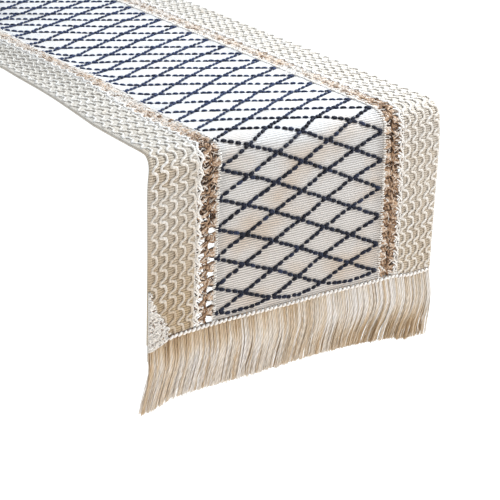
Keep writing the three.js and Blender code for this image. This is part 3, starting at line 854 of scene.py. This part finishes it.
for where, sg in HALVES.items():
    v_end = sg * (FOLD + CLOTH_END)
    fine = np.linspace(0, v_end, int((FOLD + CLOTH_END) / 0.69) + 1)

    centre = slab(f"centre_panel_cloth_{where}", np.linspace(-87.6, 87.6, 65), fine, centre_top, lambda u, v: 0.0 * u, M_CENTRE, tone=centre_shade_tone, step=8)
    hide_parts(*([f"centre_panel_{where}"] + (["centre_panel_top"] if where == "front" else [])))
    bend(centre)

    sel = (STITCH[:, 1, 1] * sg) > 0
    net = yarn_object(f"diamond_stitches_{where}", [dashes(sel, 101 + sg, T_CENTRE + 0.22)], M_NAVY)
    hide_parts(*([f"diamond_lattice_{where}"] + (["diamond_lattice_top"] if where == "front" else [])))
    bend(net)

    seams = []
    for nm, s in (("left", -1), ("right", 1)):
        us = np.linspace(109.6, 149.0, 33)
        panel = slab(f"side_weave_{nm}_{where}", us if s > 0 else -us[::-1], fine, side_height(s), lambda u, v: 0.0 * u, M_SIDE,
                     tone=side_shade_tone(s), step=8)
        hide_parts(*([f"side_panel_{nm}_{where}"] + ([f"side_panel_{nm}_top"] if where == "front" else [])))
        bend(panel)
        cords = yarn_object(f"side_cords_{nm}_{where}", side_cords(s, sg * 0.2, v_end - sg * 0.4), M_SIDECORD)
        bend(cords)

        eu = np.linspace(148.2, 152.5, 6)

        def edge_top(u, v, s=s, sg=sg):
            r = (np.abs(u) - 150.3) / 2.3
            return 0.7 + 1.2 * np.sqrt(np.clip(1 - r * r, 0, 1)) + 0.75 * np.abs(np.cos(v * math.pi / RIB))

        # painted shade in the gaps between the selvage's ribs
        def selvage_rib_shade(u, v, h):
            return np.clip(0.48 + 0.60 * np.abs(np.cos(v * math.pi / RIB)) ** 0.8 + 0.10 * noise2(u / 3.0, v / 5.0, 57, 3), 0, 1)
        selv = slab(f"selvage_edge_{nm}_{where}", eu if s > 0 else -eu[::-1], fine, edge_top, lambda u, v: 0.0 * u, M_SIDE, tone=selvage_rib_shade, step=5)
        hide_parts(*([f"selvage_{nm}_{where}"] + ([f"selvage_{nm}_top"] if where == "front" else [])))
        bend(selv)

        band = yarn_object(f"openwork_{nm}_{where}", band_parts(s, sg * 0.1, v_end, 201 + s + 10 * sg), M_BROWN)
        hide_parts(*([f"openwork_band_{nm}_{where}"] + ([f"openwork_band_{nm}_top"] if where == "front" else [])))
        bend(band)

        seam = yarn_object(f"seam_stitches_{nm}_{where}", seam_parts(s, sg * 0.1, v_end, 301 + s + 10 * sg), M_WHITE)
        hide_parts(*([f"seam_cord_{nm}_{where}"] + ([f"seam_cord_{nm}_top"] if where == "front" else [])))
        bend(seam)
        ladder = yarn_object(f"ladder_stitches_{nm}_{where}", ladder_parts(s, sg * 0.1, v_end, 401 + s + 10 * sg), M_WHITE)
        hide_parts(*([f"ladder_cord_{nm}_{where}"] + ([f"ladder_cord_{nm}_top"] if where == "front" else [])))
        bend(ladder)
        seams += [seam, ladder, band, selv]

    # ---- hem: rope-like overcast beads over an under-thread, with dark specks between the beads, partly a dark thread and partly painted shadow
    rng = np.random.default_rng(501 + sg)
    pitch = 4.5
    n = int(2 * (HALF_W - 2) / pitch)
    uc = np.linspace(-HALF_W + 2.2, HALF_W - 2.2, n) + rng.normal(0, 0.2, n)
    t = np.array([-1, -0.7, -0.25, 0.25, 0.7, 1.0])
    ang = 0.62 + rng.normal(0, 0.08, n)
    P = np.zeros((n, 6, 3))
    half = 2.05 * rng.uniform(0.9, 1.1, n)
    P[:, :, 0] = uc[:, None] + (half * np.cos(ang))[:, None] * t[None]
    sv = HEM - (half * np.sin(ang))[:, None] * t[None]
    P[:, :, 1] = sg * (FOLD + sv - 0.5)
    P[:, :, 2] = 3.3 + 0.6 * (1 - t ** 2)[None]
    rad = 1.12 * rng.uniform(0.9, 1.1, n)[:, None] * np.array([0.45, 0.85, 1, 1, 0.85, 0.45])[None]
    beads = tubes(P, rad, 8, 0.9, tone=np.clip(0.88 + rng.normal(0, 0.10, n), 0, 1), grow=0.45)
    rope = yarn_object(f"hem_rope_{where}", [beads], M_WHITE)
    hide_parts(f"header_cord_{where}")
    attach(rope, f"{where}_drop")
    w = np.linspace(-HALF_W + 1, HALF_W - 1, 150)
    C = np.zeros((1, len(w), 3))
    C[0, :, 0] = w
    C[0, :, 1] = sg * (FOLD + 151.4)
    C[0, :, 2] = 1.5
    D = np.zeros((n, 4, 3))
    t4 = np.linspace(-1, 1, 4)
    D[:, :, 0] = (uc - 1.0)[:, None] + 0.65 * t4[None]
    D[:, :, 1] = sg * (FOLD + 149.0 + rng.normal(0, 0.15, n)[:, None] - 0.3 * t4[None])
    D[:, :, 2] = 2.9
    # the dark specks stand partly for a dark thread and partly for painted shadow in the gaps between the beads, on
    # the left only
    under = yarn_object(f"hem_under_thread_{where}", [tubes(C, 1.3, 6, 0.9, tone=np.array([0.85])),
                                                      tubes(D, 0.45, 6, 0.9, tone=np.clip(0.20 + 0.65 * s01((uc + 75.0) / 35.0) + rng.normal(0, 0.06, n), 0, 1))], M_BROWN)
    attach(under, f"{where}_drop")

    # turned corner on the left: a small wedge of plain cloth whipped down with seed stitches
    sw = np.linspace(104.0, 154.5, 60)
    width = 1.5 + 17.5 * s01((sw - 104.0) / 44.0) ** 1.2
    k = np.linspace(0, 1, 16)
    Us = -HALF_W - 0.4 + width[None] * k[:, None]
    Vs = np.broadcast_to(sg * (FOLD + sw)[None], Us.shape)
    skew = 3.4 * k[:, None] * s01((sw[None] - 134.0) / 18.0)
    Vs = sg * (FOLD + sw[None] - skew)
    lump = 4.25 + 0.45 * noise2(Us / 2.2, Vs / 2.6, 641, 2) - 1.6 * (2 * k[:, None] - 1) ** 6
    top_p = np.stack([Us, Vs, lump], -1)
    bot_p = np.stack([Us, Vs, lump * 0 + 2.2 - 1.0 * (k[:, None] > 2)], -1)
    nu, nv = Us.shape
    A = np.concatenate([top_p.reshape(-1, 3), bot_p.reshape(-1, 3)])
    ii, jj = np.meshgrid(np.arange(nu - 1), np.arange(nv - 1), indexing="ij")
    ix = lambda a, b: a * nv + b
    q1 = np.stack([ix(ii, jj), ix(ii + 1, jj), ix(ii + 1, jj + 1), ix(ii, jj + 1)], -1).reshape(-1, 4)
    q2 = q1[:, ::-1] + nu * nv
    j1, i1 = np.arange(nv - 1), np.arange(nu - 1)
    o = nu * nv
    q3 = np.stack([ix(0, j1), ix(0, j1 + 1), o + ix(0, j1 + 1), o + ix(0, j1)], -1)
    q4 = np.stack([o + ix(nu - 1, j1), o + ix(nu - 1, j1 + 1), ix(nu - 1, j1 + 1), ix(nu - 1, j1)], -1)
    q5 = np.stack([o + ix(i1, 0), o + ix(i1 + 1, 0), ix(i1 + 1, 0), ix(i1, 0)], -1)
    q6 = np.stack([ix(i1, nv - 1), ix(i1 + 1, nv - 1), o + ix(i1 + 1, nv - 1), o + ix(i1, nv - 1)], -1)
    Q6 = np.concatenate([q1, q2, q3, q4, q5, q6])
    if sg < 0:
        Q6 = Q6[:, ::-1]
    flap = make(f"turned_corner_{where}", place(A[:, 0], A[:, 1], A[:, 2]), Q6, flat=A, material=M_SELVAGE)
    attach(flap, f"{where}_drop")
    ns = 230
    a_, b_ = rng.random(ns), rng.random(ns) ** 0.7
    sw_ = 104.0 + 50.0 * b_
    wd = 1.5 + 17.5 * s01((sw_ - 104.0) / 44.0) ** 1.2
    cu_ = -HALF_W + wd * a_
    cs_ = sw_ - 3.4 * a_ * s01((sw_ - 134.0) / 18.0)
    an = rng.uniform(-1.3, 1.3, ns)
    t4 = np.linspace(-1, 1, 4)[None]
    P = np.zeros((ns, 4, 3))
    P[:, :, 0] = cu_[:, None] + 0.95 * t4 * np.cos(an)[:, None]
    P[:, :, 1] = sg * (FOLD + cs_[:, None] + 0.95 * t4 * np.sin(an)[:, None])
    P[:, :, 2] = 4.4 + 0.3 * (1 - t4 ** 2)
    dark = rng.random(ns) < 0.22
    seeds = yarn_object(f"corner_seed_stitches_{where}", [tubes(P[~dark], 0.52, 5, 0.9, tone=rng.uniform(0.2, 0.8, (~dark).sum()))], M_WHITE)
    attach(seeds, f"{where}_drop")
    specks = yarn_object(f"corner_dark_stitches_{where}", [tubes(P[dark], 0.30, 5, 0.9, tone=rng.uniform(0.1, 0.4, dark.sum()))], M_BROWN)
    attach(specks, f"{where}_drop")

    tape = slab(f"header_tape_cloth_{where}", np.linspace(-HALF_W + 0.6, HALF_W - 0.6, 205), sg * (FOLD + np.linspace(149.2, 163.0, 9)),
                lambda u, v: 1.15 + 0.25 * np.cos(TWO_PI * u / 1.5), lambda u, v: 0.1 + 0.0 * u, M_SELVAGE, step=4)
    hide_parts(f"header_tape_{where}")
    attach(tape, f"{where}_drop")

    # ---- fringe
    rng = np.random.default_rng(601 + sg)
    NS, MR = 1750, 14
    u0 = -HALF_W + 0.9 + (2 * HALF_W - 1.8) * (np.arange(NS) + rng.random(NS)) / NS
    layer = rng.integers(0, 4, NS)
    t = np.linspace(0, 1, MR)[None]
    edge_r, edge_l = s01((u0 - 60.0) / 80.0), s01((-u0 - 60.0) / 80.0)
    length = 55.5 + 5.5 * edge_r - 0.5 * edge_l + rng.normal(0, 1, NS) * (0.28 + 0.30 * edge_r) + 0.5 * noise2(u0 / 16.0, u0 * 0, 611, 2)
    # locks: each layer has its own, and they draw together a little below the tape
    uclump = np.zeros(NS); depth = np.zeros(NS); ctone = np.zeros(NS); cph = np.zeros(NS)
    for L in range(4):
        edges = [-HALF_W]
        while edges[-1] < HALF_W:
            edges.append(edges[-1] + rng.uniform(2.2, 6.5))
        edges = np.array(edges)
        mids = (edges[1:] + edges[:-1]) / 2
        idx = np.clip(np.searchsorted(edges, u0) - 1, 0, len(mids) - 1)
        pick = layer == L
        dd, tt_, pp = rng.normal(0, 1, len(mids)), rng.normal(0, 1, len(mids)), rng.normal(0, 0.55, len(mids))
        uclump[pick], depth[pick], ctone[pick], cph[pick] = mids[idx][pick], dd[idx][pick], tt_[idx][pick], pp[idx][pick]
    ease = s01((t - 0.10) / 0.8)
    # the strands fall straight, bulge a little to the right and then sweep to the left
    sweep = 6.5 + 3.0 * edge_l + 5.0 * s01((u0 - 40.0) / 60.0) - 9.5 * s01((u0 - 128.0) / 24.0) + 1.6 * noise2(u0 / 22.0, u0 * 0, 621, 2)
    bulge = 1.2 + 1.6 * s01((u0 - 20.0) / 80.0) - 1.2 * edge_l
    U = (u0[:, None] + (uclump - u0)[:, None] * 0.30 * ease
         - sweep[:, None] * s01((t - 0.30) / 0.90) * 1.08
         + bulge[:, None] * np.sin(math.pi * np.clip(t / 0.8, 0, 1))
         + ease * 0.9 * np.sin(TWO_PI * t * 1.05 + 0.8 + cph[:, None])
         + ease * 0.30 * rng.normal(0, 1, NS)[:, None] * np.sin(TWO_PI * t * 1.9 + cph[:, None] * 5))
    U = np.maximum(U, -HALF_W - 10.5)
    S = 151.6 + length[:, None] * t
    Hh = 0.55 + 0.62 * layer[:, None] + ease * (0.9 * depth[:, None] + 0.4 * rng.normal(0, 1, NS)[:, None]) + 1.5 * np.sin(math.pi * t) * s01(t * 3)
    Hh = np.clip(Hh, 0.1, 9)
    P = np.stack([U, sg * (FOLD + S), Hh], -1)
    rad = 0.45 * rng.uniform(0.75, 1.3, NS)[:, None] * (1 - 0.30 * t ** 3)
    # painted shade: the layers nearer the cloth are a shade darker
    base_tone = 0.60 + 0.06 * (layer - 1.5) + 0.09 * ctone + rng.normal(0, 0.12, NS) + 0.05 * noise2(u0 / 14.0, u0 * 0, 631, 2)
    # the left strands pale towards their ends, the right ones pale at their heads
    lean_l, lean_r = s01((40.0 - u0) / 150.0)[:, None], s01((u0 + 10.0) / 90.0)[:, None]
    tone = (base_tone[:, None] + lean_l * (0.36 * s01((t - 0.10) / 0.4) - 0.22) + lean_r * (0.16 - 0.36 * s01((t - 0.42) / 0.42))
            - 0.06 * (1 - s01(t * 5)) + 0.04 * rng.normal(0, 1, (NS, MR)))
    fringe = yarn_object(f"fringe_strands_{where}", [tubes(P, rad, 4, 0.9, tone=np.clip(tone, 0, 1))], M_FRINGE)
    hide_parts(f"fringe_{where}")
    hang(fringe)

# ------------------------------------------------------------------ floor, light, camera
me = bpy.data.meshes.new("floor")
B = 40.0
me.from_pydata([(-B, -B, -0.76), (B, -B, -0.76), (B, B, -0.76), (-B, B, -0.76)], [], [(0, 1, 2, 3)])
floor = bpy.data.objects.new("floor", me)
bpy.context.scene.collection.objects.link(floor)
fm, fnt, fb = new_mat("floor_paint", 0.9, 0.0)
fb.inputs["Base Color"].default_value = (0.985, 0.955, 0.92, 1)
me.materials.append(fm)

world = bpy.data.worlds.new("studio")
bpy.context.scene.world = world
world.use_nodes = True
bg = world.node_tree.nodes["Background"]
bg.inputs["Color"].default_value = (0.88, 0.94, 1.0, 1)
bg.inputs["Strength"].default_value = 0.44

sun = bpy.data.lights.new("window_key", "SUN")
sun.energy = 3.0
sun.angle = math.radians(34)
sun.color = (0.88, 0.945, 1.0)
sun_ob = bpy.data.objects.new("window_key", sun)
bpy.context.scene.collection.objects.link(sun_ob)
sun_ob.rotation_euler = Vector((-0.40, -0.10, -0.90)).to_track_quat("-Z", "Y").to_euler()


def area(name, loc, target, size, power, color):
    li = bpy.data.lights.new(name, "AREA")
    li.shape = "RECTANGLE"
    li.size, li.size_y = size
    li.energy = power
    li.color = color
    ob = bpy.data.objects.new(name, li)
    bpy.context.scene.collection.objects.link(ob)
    ob.location = loc
    ob.visible_camera = False
    ob.rotation_euler = (Vector(target) - Vector(loc)).to_track_quat("-Z", "Y").to_euler()
    return ob


area("near_key", (0.38, -0.70, 0.38), (0.05, -0.62, 0.0), (0.35, 0.35), 2.6, (0.96, 0.98, 1.0))
area("warm_fill", (-1.0, -2.3, -0.35), (0, -0.7, -0.12), (1.1, 0.8), 4.5, (1.0, 0.84, 0.66))
area("low_warm", (-0.50, -1.10, -0.46), (-0.05, -0.72, -0.17), (0.4, 0.3), 0.8, (1.0, 0.72, 0.46))
area("side_fill", (-2.2, -1.6, 1.3), (0, -0.7, -0.05), (1.0, 1.0), 5.0, (0.93, 0.965, 1.0))
area("right_fill", (0.85, -1.55, 0.12), (0.10, -0.70, -0.09), (0.5, 0.5), 4.6, (1.0, 0.91, 0.82))

cam_data = bpy.data.cameras.new("camera")
cam = bpy.data.objects.new("camera", cam_data)
bpy.context.scene.collection.objects.link(cam)
bpy.context.scene.camera = cam
az, el, roll = math.radians(39.85), math.radians(22.54), math.radians(3.84)
fwd = Vector((math.sin(az) * math.cos(el), math.cos(az) * math.cos(el), -math.sin(el)))
right = fwd.cross(Vector((0, 0, 1))).normalized()
up = right.cross(fwd)
r2 = right * math.cos(roll) + up * math.sin(roll)
u2 = -right * math.sin(roll) + up * math.cos(roll)
cam.matrix_world = Matrix((
    (r2.x, u2.x, -fwd.x, -0.9077),
    (r2.y, u2.y, -fwd.y, -1.7314),
    (r2.z, u2.z, -fwd.z, 0.4578),
    (0, 0, 0, 1)))
cam_data.sensor_width = 36.0
cam_data.lens = 1745.7 / 500 * 36.0
cam_data.clip_start, cam_data.clip_end = 0.05, 200.0
cam_data.dof.use_dof = False
bpy.context.scene.view_settings.view_transform = "Standard"

bpy.context.view_layer.update()
